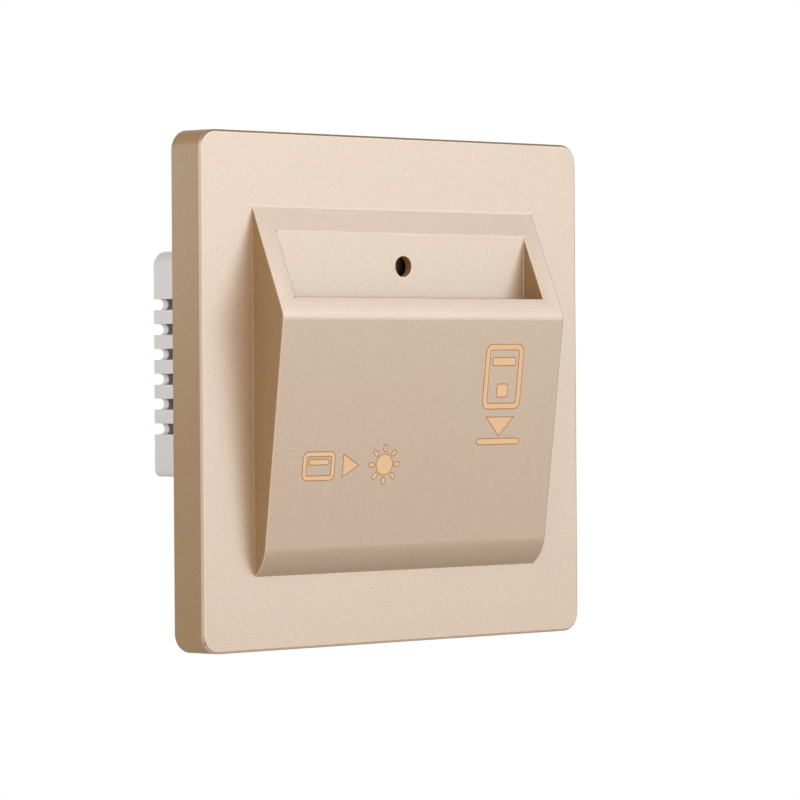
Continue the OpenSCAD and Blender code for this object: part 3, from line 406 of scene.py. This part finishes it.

# The spring's turns: one leg lies behind the arm, one on the frame
wire_r, turn_r, pitch, turns, turn_steps = 0.25 * MM, 1.6 * MM, 1.0 * MM, 3, 24
first_x = 5.1 * MM
arm_leg_back, arm_leg_down = 1.03 * MM, 6.0 * MM    # where the leg on the arm ends, from the pin
frame_leg_y, frame_leg_up = -2.68 * MM, 3.6 * MM    # where the leg on the frame ends
pin_low, pin_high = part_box("lever_pin")
pivot = (pin_low + pin_high) / 2
route = [Vector((first_x, pivot.y + arm_leg_back, pivot.z - arm_leg_down))]
for step in range(turn_steps * turns + 1):
    turned_by = step / turn_steps
    route.append(Vector((
        first_x + pitch * turned_by,
        pivot.y + turn_r * math.cos(2 * math.pi * turned_by),
        pivot.z + turn_r * math.sin(2 * math.pi * turned_by),
    )))
route.append(Vector((first_x + pitch * turns, frame_leg_y, pivot.z + frame_leg_up)))


def put_in_scene(name, shape):
    """Makes a finished bmesh into an object of this name in the scene."""
    mesh = bpy.data.meshes.new(name)
    shape.to_mesh(mesh)
    shape.free()
    piece = bpy.data.objects.new(name, mesh)
    bpy.context.scene.collection.objects.link(piece)
    return piece


def round_wire(name, points, radius, sides=12):
    """A round wire along these points, closed at both ends."""
    wire = bmesh.new()
    rings = []
    for i, point in enumerate(points):
        way = (points[min(i + 1, len(points) - 1)] - points[max(i - 1, 0)]).normalized()
        side = way.cross(Vector((1, 0, 0))).normalized()
        lift = side.cross(way)
        rings.append([
            wire.verts.new(point + radius * (math.cos(a) * side + math.sin(a) * lift))
            for a in (2 * math.pi * k / sides for k in range(sides))
        ])
    for one, two in zip(rings, rings[1:]):
        for k in range(sides):
            wire.faces.new((one[k], one[(k + 1) % sides], two[(k + 1) % sides], two[k]))
    wire.faces.new(rings[0][::-1])
    wire.faces.new(rings[-1])
    bmesh.ops.recalc_face_normals(wire, faces=wire.faces)
    piece = put_in_scene(name, wire)
    for face in piece.data.polygons:
        face.use_smooth = len(face.vertices) == 4
    return piece


spring = round_wire("wound_spring", route, wire_r)
spring.data.materials.append(metal("Spring steel", colour(176, 180, 184), roughness=0.26))
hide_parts("lever_spring")
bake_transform(spring)


# Front cover: one moulding of the square plate and the wedge-shaped card hood, sprayed with
# a champagne pearl paint. It pushes onto the mounting frame and pulls off by hand.
plate_y, chamfer = -8.0, 0.4            # the plate's front, and the chamfer round it, in mm
rim_x, rim_z = 38, 40                   # past these an edge is the plate's own and not the hood's
hood_half, hood_top, lip_z, lip_out = 31.8, 31.9, 13.0, 8.8
pocket_y, pocket_half, mouth_out = -10.0, 28.1, 7.3
window_z, window_r = 21.8, 1.8
window_low = window_z - window_r
fall = (hood_top - lip_z) / lip_out     # how far the slope falls for each mm that it stands out
lip_inner = hood_top - mouth_out * fall
pocket_top = hood_top - (plate_y - pocket_y) * fall
lean = math.radians(8)                  # how far the hood's front leans back to its toe


def close(one, two):
    """Whether two lengths in mm are the same but for rounding."""
    return abs(one - two) < 0.05


shell = bmesh.new()
shell.from_mesh(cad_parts["front_cover"].data)
bmesh.ops.remove_doubles(shell, verts=shell.verts, dist=0.0005 * MM)
bmesh.ops.dissolve_degenerate(shell, dist=0.001 * MM, edges=shell.edges)
bmesh.ops.dissolve_limit(
    shell, angle_limit=math.radians(0.3), verts=shell.verts, edges=shell.edges
)

# The slope is laid anew as four strips round the pocket, so that its edges can be rounded
slope_normal = Vector((0.0, lip_z - hood_top, lip_out)).normalized()
slope = [
    face for face in shell.faces if (face.normal - slope_normal).length < 0.01
    or all(close(v.co.z / MM, pocket_top) and close(v.co.y / MM, pocket_y) for v in face.verts)
]
bmesh.ops.delete(shell, geom=slope, context="FACES_ONLY")
bmesh.ops.delete(shell, geom=[edge for edge in shell.edges if not edge.link_faces], context="EDGES")
bmesh.ops.delete(shell, geom=[v for v in shell.verts if not v.link_faces], context="VERTS")
mouth_z = (pocket_top + lip_inner) / 2
mouth_rim = sorted(
    (v for v in shell.verts if any(edge.is_boundary for edge in v.link_edges)),
    key=lambda v: math.atan2(v.co.z - mouth_z * MM, v.co.x),
)
outer = [v for v in mouth_rim if abs(v.co.x) > (pocket_half + 1) * MM]
inner = [v for v in mouth_rim if v not in outer]
for k in range(4):
    shell.faces.new((outer[k], outer[(k + 1) % 4], inner[(k + 1) % 4], inner[k]))

# Painted light on the edges: each face's painted highlight above the paint's own tone, or painted shade
# below it, for the lines of light and dark along the edges. The chamfer has one at the left, one below
# and one on its other sides.
painted_edge_light = shell.faces.layers.float.new("painted_edge_light")
painted_glare, painted_highlight, painted_glimmer, painted_shade, painted_dark_line = 0.5, 0.4, 0.15, -0.4, -0.6
chamfer_left, chamfer_below, chamfer_rest = 0.05, 0.3, -0.45
left_x, below_z = -42.3, -43
for face in shell.faces:
    middle = face.calc_center_median() / MM
    if close(middle.y, plate_y + chamfer / 2):
        if middle.x < left_x:
            face[painted_edge_light] = chamfer_left
        else:
            face[painted_edge_light] = chamfer_below if middle.z < below_z else chamfer_rest


def fillet(reach, tone, chosen, shortest=0.0):
    """Rounds the cover's sharp edges whose middle, in mm, is chosen, and paints light or shade on them.
    """
    edges = []
    for edge in shell.edges:
        if len(edge.link_faces) == 2 and edge.calc_face_angle() > math.radians(16):
            middle = (edge.verts[0].co + edge.verts[1].co) / (2 * MM)
            if chosen(*middle) and edge.calc_length() > shortest * MM:
                edges.append(edge)
    made = bmesh.ops.bevel(
        shell, geom=edges, offset=reach * MM, offset_type="OFFSET", segments=2,
        profile=0.5, affect="EDGES", clamp_overlap=False,
    )
    for face in made["faces"]:
        face[painted_edge_light] = tone


def plate_edge(x, y, z):
    return close(y, plate_y) and (abs(x) > rim_x or abs(z) > rim_z)


def chamfer_back(x, y, z):
    return close(y, plate_y + chamfer)


def hood_edge(x, y, z):
    return close(abs(x), hood_half) and y < plate_y - 0.02


def foot_edge(x, y, z):
    return close(y, plate_y) and abs(x) < hood_half + 0.1 and abs(z) < rim_z


def beside_hood(x):
    return abs(x) > hood_half - 0.8


def pocket_side(x, y, z):
    return close(abs(x), pocket_half) and y < pocket_y - 0.1 and z > lip_inner


def right_edge(x, z):
    return x > rim_x and abs(z) < rim_z


# Each rounded edge is painted lighter or darker: painted highlights and painted shade lines for the light
# the edges catch.
fillet(0.1, painted_highlight, lambda x, y, z: plate_edge(x, y, z) and not right_edge(x, z))
fillet(0.1, painted_shade, lambda x, y, z: plate_edge(x, y, z) and right_edge(x, z))
fillet(0.1, painted_highlight, lambda x, y, z: chamfer_back(x, y, z) and x < -rim_x)
fillet(0.1, painted_shade, lambda x, y, z: chamfer_back(x, y, z) and x > -rim_x)
fillet(0.2, painted_highlight, lambda x, y, z: hood_edge(x, y, z) and x < 0)
fillet(0.18, painted_dark_line, lambda x, y, z: hood_edge(x, y, z) and x > 0)
fillet(0.2, painted_glare, lambda x, y, z: foot_edge(x, y, z) and beside_hood(x), shortest=2)
fillet(0.2, painted_glimmer, lambda x, y, z: foot_edge(x, y, z) and not beside_hood(x), shortest=2)
fillet(0.26, painted_highlight, lambda x, y, z: pocket_side(x, y, z) and x > 0)
fillet(0.12, painted_dark_line, lambda x, y, z: pocket_side(x, y, z) and x < 0)
fillet(0.13, painted_dark_line, lambda x, y, z: close(z, lip_inner) and abs(x) < pocket_half and y < pocket_y - 1)
fillet(0.2, painted_glimmer, lambda x, y, z: close(z, pocket_top) and close(y, pocket_y) and abs(x) < pocket_half)
fillet(0.16, painted_glare, lambda x, y, z: close(y, pocket_y) and math.hypot(x, z - window_z) < window_r + 0.1)
fillet(0.12, painted_highlight, lambda x, y, z: close(x, pocket_half) and close(y, pocket_y) and z < window_low)
bmesh.ops.remove_doubles(shell, verts=shell.verts, dist=0.01 * MM)
cover_shell = put_in_scene("cover_shell", shell)
cover_mesh = cover_shell.data

# Shading: wide faces keep their own normals, and the narrow ones between turn from one to the
# next. The plate's round corners turn with its sides alone, and the lip turns softly.
slope_tilt = math.atan2(lip_out, hood_top - lip_z)
slope_from = lip_inner - 0.2            # the slope is flat above this height
lip_high, lip_low, lip_tilt = 13.8, 12.12, math.radians(16)
lip_front_y = -16                       # the lip's outer face stands further out than this
lip_least, wall_least, chamfer_least, wide = 10, 2, 5, 60   # areas in square mm


def stands_square(face):
    """Whether a face stands square to the wall, but for its draft."""
    return abs(face.normal.y) < 0.08


def lip_normal(z):
    """The soft lip's normal at this height in mm, which turns from the slope to the hood's front."""
    if z > lip_high:
        share = min(1, (z - lip_high) / (slope_from - lip_high))
        tilt = lip_tilt + (slope_tilt - lip_tilt) * share
    else:
        tilt = -lean + (lip_tilt + lean) * (z - lip_low) / (lip_high - lip_low)
    return Vector((0.0, -math.cos(tilt), math.sin(tilt)))


turning = [Vector() for _ in cover_mesh.vertices]
round_corner = [Vector() for _ in cover_mesh.vertices]
for face in cover_mesh.polygons:
    face.use_smooth = True
    for v in face.vertices:
        turning[v] += face.normal * (face.area / MM ** 2) ** 2
        if stands_square(face):
            round_corner[v] += face.normal * (face.area / MM ** 2) ** 2

shaded_normals = []
for face in cover_mesh.polygons:
    area = face.area / MM ** 2
    middle = face.center / MM
    on_slope = (face.normal - slope_normal).length < 0.01
    on_lip = abs(face.normal.x) < 0.01 and lip_low < middle.z < lip_high and middle.y < lip_front_y
    wall = abs(face.normal.x) > 0.99 and area > wall_least
    chamfered = abs(face.normal.y + 0.707) < 0.03 and area > chamfer_least
    for v in face.vertices:
        if on_slope or (on_lip and area > lip_least):
            shaded_normals.append(lip_normal(cover_mesh.vertices[v].co.z / MM))
        elif wall or chamfered or area > wide:
            shaded_normals.append(face.normal)
        else:
            turned_to = round_corner[v] if stands_square(face) else turning[v]
            shaded_normals.append(turned_to.normalized())
cover_mesh.normals_split_custom_set(shaded_normals)

# Pearl paint: mica flakes that each lie a little differently, cloudy spray, a few dust specks
pearl, tree, shader = material("Champagne pearl paint")
where = add(tree, "TexCoord").outputs["Object"]
flakes = add(tree, "TexVoronoi", {"Vector": where, "Scale": 5200.0})
flake = swing(tree, add(tree, "SeparateColor", {0: flakes.outputs["Color"]}).outputs[0])
clouds = add(tree, "TexNoise", {"Vector": where, "Scale": 55.0, "Detail": 3.0})
cloud = swing(tree, clouds.outputs[0])
# The edges' painted highlights and painted shade raise or lower the paint's value, and its coat as a
# painted sheen.
painted_light_on_edges = add(tree, "Attribute", attribute_name="painted_edge_light").outputs["Fac"]
value = maths(
    tree, "ADD", maths(tree, "ADD", 1.0, painted_light_on_edges),
    maths(tree, "ADD", maths(tree, "MULTIPLY", flake, 0.09), maths(tree, "MULTIPLY", cloud, 0.05)),
)
# Faces that look sideways are painted a more saturated tone, as painted shade, and get a drier coat
to_front, to_side = -0.6, -0.1
facing = add(tree, "SeparateXYZ", {0: add(tree, "NewGeometry").outputs["Normal"]}).outputs["Y"]
toned = add(tree, "HueSaturation", {
    "Color": colour(190, 153, 111), "Value": value,
    "Saturation": remap(tree, facing, to_front, to_side, 0.96, 1.08),
})
dust = add(tree, "TexVoronoi", {"Vector": where, "Scale": 210.0})
rare = maths(tree, "GREATER_THAN", add(tree, "SeparateColor", {0: dust.outputs["Color"]}).outputs[1], 0.8)
speck = maths(tree, "MULTIPLY", maths(tree, "LESS_THAN", dust.outputs["Distance"], 0.028), rare)
specked = maths(tree, "MULTIPLY", speck, 0.55)
sprayed = remap(tree, facing, to_front, to_side, 0.9, 0.15)
coat_with_painted_sheen = maths(tree, "ADD", sprayed, maths(tree, "MULTIPLY", painted_light_on_edges, 1.2))
coat = {0: coat_with_painted_sheen, 1: maths(tree, "MULTIPLY", flake, 0.2)}
peel = add(tree, "TexNoise", {"Vector": where, "Scale": 900.0, "Detail": 2.0})
relief = maths(tree, "ADD", maths(tree, "MULTIPLY", flake, 0.3), peel.outputs[0])
feed(shader, {
    "Base Color": mix_colour(tree, specked, toned.outputs[0], colour(120, 88, 58)),
    "Roughness": maths(tree, "ADD", 0.46, maths(tree, "MULTIPLY", flake, 0.12)),
    "Coat Weight": add(tree, "Math", coat, operation="ADD", use_clamp=True).outputs[0],
    "Coat Roughness": 0.4,
    "Coat IOR": 2.9,
    "Normal": bumped(tree, relief, 0.25, 0.012),
})
cover_mesh.materials.append(pearl)
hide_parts("front_cover")
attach(cover_shell, "cover")


# Sign on the hood: a hot-stamped peach foil with a thin brown edge, pressed into the paint.
# A plain card above its slot on the right, and a card, a pointer and a lit lamp at the left.
def on_hood(x, z, proud):
    """The point of the hood's leaning front at this X and height, that far proud of it, in mm."""
    out = lip_out - math.tan(lean) * (lip_z - z)
    return Vector((
        x, plate_y - out - proud * math.cos(lean), z - proud * math.sin(lean)
    )) * MM


def card_loop(x, z, width, height, corner, steps=6):
    """A rounded rectangle about this middle, anticlockwise."""
    loop = []
    for quarter, (to_x, to_z) in enumerate(((1, 1), (-1, 1), (-1, -1), (1, -1))):
        middle_x, middle_z = x + to_x * (width / 2 - corner), z + to_z * (height / 2 - corner)
        for step in range(steps + 1):
            angle = math.radians(90 * quarter + 90 * step / steps)
            loop.append((middle_x + corner * math.cos(angle), middle_z + corner * math.sin(angle)))
    return loop


def grown(loop, by):
    """An anticlockwise loop moved out by this much all round."""
    moved = []
    for i, here in enumerate(loop):
        before, after = Vector(loop[i - 1]), Vector(loop[(i + 1) % len(loop)])
        one = (Vector(here) - before).normalized()
        two = (after - Vector(here)).normalized()
        normal = Vector((one.y + two.y, -one.x - two.x)).normalized()
        reach = by / max(0.4, normal.dot(Vector((one.y, -one.x))))
        moved.append((here[0] + normal.x * reach, here[1] + normal.y * reach))
    return moved


def turned(loop, x, z, angle):
    """A loop turned about this point."""
    c, s = math.cos(angle), math.sin(angle)
    return [(x + (a - x) * c - (b - z) * s, z + (a - x) * s + (b - z) * c) for a, b in loop]


big_x = 18.5                                    # the large card and its slot, at the right
small_x, lamp_x, row_z = -21.7, -7.2, -13.0     # the small card and the lamp, in a row at the left
lamp_r, lamp_sides, ray_count, ray_out = 1.75, 32, 8, 2.85
pointer_down = [(big_x - 3, -5.1), (big_x, -8.3), (big_x + 3, -5.1)]
pointer_right = [(-16.3, row_z + 1.9), (-16.3, row_z - 1.9), (-13.1, row_z)]
lamp_angles = [2 * math.pi * k / lamp_sides for k in range(lamp_sides)]
lamp_disc = [(lamp_x + lamp_r * math.cos(a), row_z + lamp_r * math.sin(a)) for a in lamp_angles]
top_ray = card_loop(lamp_x, row_z + ray_out, 0.62, 1.1, 0.3)
rays = [turned(top_ray, lamp_x, row_z, 2 * math.pi * k / ray_count) for k in range(ray_count)]
shapes = [
    (card_loop(big_x, 2.2, 8.6, 11.4, 1.3), card_loop(big_x, 2.2, 6.9, 9.7, 0.5)),
    (card_loop(big_x, 4.9, 5.2, 1.3, 0.3), None),
    (card_loop(big_x, -0.3, 2.4, 2.2, 0.5), None),
    (pointer_down, None),
    (card_loop(big_x, -9.4, 9.8, 0.9, 0.44), None),
    (card_loop(small_x, row_z, 6.8, 4.8, 0.9), card_loop(small_x, row_z, 5.5, 3.5, 0.3)),
    (card_loop(small_x, row_z + 0.7, 4.1, 0.8, 0.2), None),
    (pointer_right, None),
    (lamp_disc, None),
] + [(ray, None) for ray in rays]


def stamped(name, edge, proud, finish, sunk=0.005):
    """The sign's shapes, each wider by edge, as one thin film that stands proud of the paint."""
    film = bmesh.new()
    for outer, inner in shapes:
        loops = [grown(outer, edge)] + ([grown(inner, -edge)] if inner else [])
        tops = [[film.verts.new(on_hood(a, b, proud)) for a, b in loop] for loop in loops]
        feet = [[film.verts.new(on_hood(a, b, -sunk)) for a, b in loop] for loop in loops]
        n = len(loops[0])
        for ring, (top, foot) in enumerate(zip(tops, feet)):
            for i in range(n):
                quad = (foot[i], foot[(i + 1) % n], top[(i + 1) % n], top[i])
                film.faces.new(quad if ring == 0 else quad[::-1])
        if inner:
            for i in range(n):
                film.faces.new((tops[0][i], tops[0][(i + 1) % n], tops[1][(i + 1) % n], tops[1][i]))
        else:
            film.faces.new(tops[0])
    piece = put_in_scene(name, film)
    piece.data.materials.append(finish)
    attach(piece, "cover")


edge_ink = moulded("Sign edge ink", colour(172, 124, 80), roughness=0.5)
peach_foil = moulded("Peach foil", colour(249, 202, 153), roughness=0.42, clouding=0.12, relief=0.004)
stamped("sign_edge", 0.16, 0.010, edge_ink)
stamped("sign_foil", 0.0, 0.022, peach_foil)


# Studio: a camera at the photograph's angle, a large softbox at the right front, a strip and a
# fill at the left and a small glint behind it, over a round pale table. The backdrop is white,
# lights the sides, and greys towards the left and overhead where the paint mirrors it.
scene = bpy.context.scene
yaw, pitch_up, roll = math.radians(-38.96), math.radians(0.44), math.radians(-0.397)
camera_at = Vector((-0.396768, -0.499409, 0.003043))
back = Vector((
    math.sin(yaw) * math.cos(pitch_up), -math.cos(yaw) * math.cos(pitch_up), math.sin(pitch_up)
))
level = Vector((math.cos(yaw), math.sin(yaw), 0.0))
upright = back.cross(level)
right = math.cos(roll) * level + math.sin(roll) * upright
above = -math.sin(roll) * level + math.cos(roll) * upright
camera = bpy.data.objects.new("Camera", bpy.data.cameras.new("Camera"))
camera.data.sensor_width = 36.0
camera.data.lens = 160.2
camera.data.clip_start = 0.02
camera.matrix_world = Matrix((
    (right.x, above.x, back.x, camera_at.x),
    (right.y, above.y, back.y, camera_at.y),
    (right.z, above.z, back.z, camera_at.z),
    (0.0, 0.0, 0.0, 1.0),
))
scene.collection.objects.link(camera)
scene.camera = camera


def softbox(name, azimuth, elevation, distance, width, height, radiance):
    """A softbox that looks at the object from so far round to the right and up, in degrees."""
    lamp = bpy.data.lights.new(name, "AREA")
    lamp.shape = "RECTANGLE"
    lamp.size, lamp.size_y = width, height
    lamp.energy = radiance * math.pi * width * height
    held = bpy.data.objects.new(name, lamp)
    a, e = math.radians(azimuth), math.radians(elevation)
    towards = Vector((math.sin(a) * math.cos(e), -math.cos(a) * math.cos(e), math.sin(e)))
    held.location = towards * distance
    held.rotation_euler = towards.to_track_quat("Z", "Y").to_euler()
    scene.collection.objects.link(held)


softbox("Key softbox", 20, 26.5, distance=1.6, width=1.98, height=2.0, radiance=2.0)
softbox("Edge strip", -51, 28, distance=0.55, width=0.02, height=0.7, radiance=12.5)
softbox("Side fill", -85, 14, distance=0.6, width=0.22, height=0.4, radiance=0.5)
softbox("Side glint", -144, 13, distance=0.28, width=0.09, height=0.09, radiance=3.5)

world = bpy.data.worlds.new("Studio")
scene.world = world
world.use_nodes = True
tree = world.node_tree
direction = add(tree, "TexCoord").outputs["Generated"]
leftward = add(
    tree, "VectorMath", {0: direction, 1: (-0.62, 0.78, 0.0)}, operation="DOT_PRODUCT"
).outputs["Value"]
towards = add(tree, "SeparateXYZ", {0: direction}).outputs
shade = maths(
    tree, "ADD", remap(tree, leftward, 0.38, 0.85, 0.0, 0.95),
    remap(tree, towards["Z"], 0.25, 0.7, 0.0, 0.8),
)
shade = maths(tree, "ADD", shade, remap(tree, towards["Y"], 0.1, -0.4, 0.0, 0.2))
white = maths(tree, "MAXIMUM", maths(tree, "SUBTRACT", 1.0, shade), 0.12)
path = add(tree, "LightPath").outputs
seen = maths(
    tree, "MAXIMUM", path["Is Camera Ray"],
    maths(tree, "MAXIMUM", path["Is Glossy Ray"], path["Is Transmission Ray"]),
)
ambient = maths(
    tree, "MULTIPLY", remap(tree, towards["Y"], -0.15, 0.5, 0.1, 1.5),
    remap(tree, towards["Z"], 0.2, 0.7, 1.0, 0.25),
)
feed(tree.nodes["Background"], {
    "Color": (1.0, 1.0, 1.0, 1.0),
    "Strength": add(tree, "Mix", {0: seen, 2: ambient, 3: white}).outputs[0],
})

table_r, table_z = 0.5, -0.15
table = bmesh.new()
bmesh.ops.create_circle(table, cap_ends=True, segments=128, radius=table_r)
floor = put_in_scene("table", table)
floor.location.z = table_z
floor_paint, tree, shader = material("Pale table")
where = add(tree, "TexCoord").outputs["Object"]
mottle = add(tree, "TexNoise", {"Vector": where, "Scale": 30.0}).outputs[0]
feed(shader, {
    "Base Color": mix_colour(tree, mottle, colour(214, 214, 213), colour(222, 222, 221)),
    "Roughness": 0.9,
    "Specular IOR Level": 0.1,
})
floor.data.materials.append(floor_paint)

scene.view_settings.view_transform = "Standard"
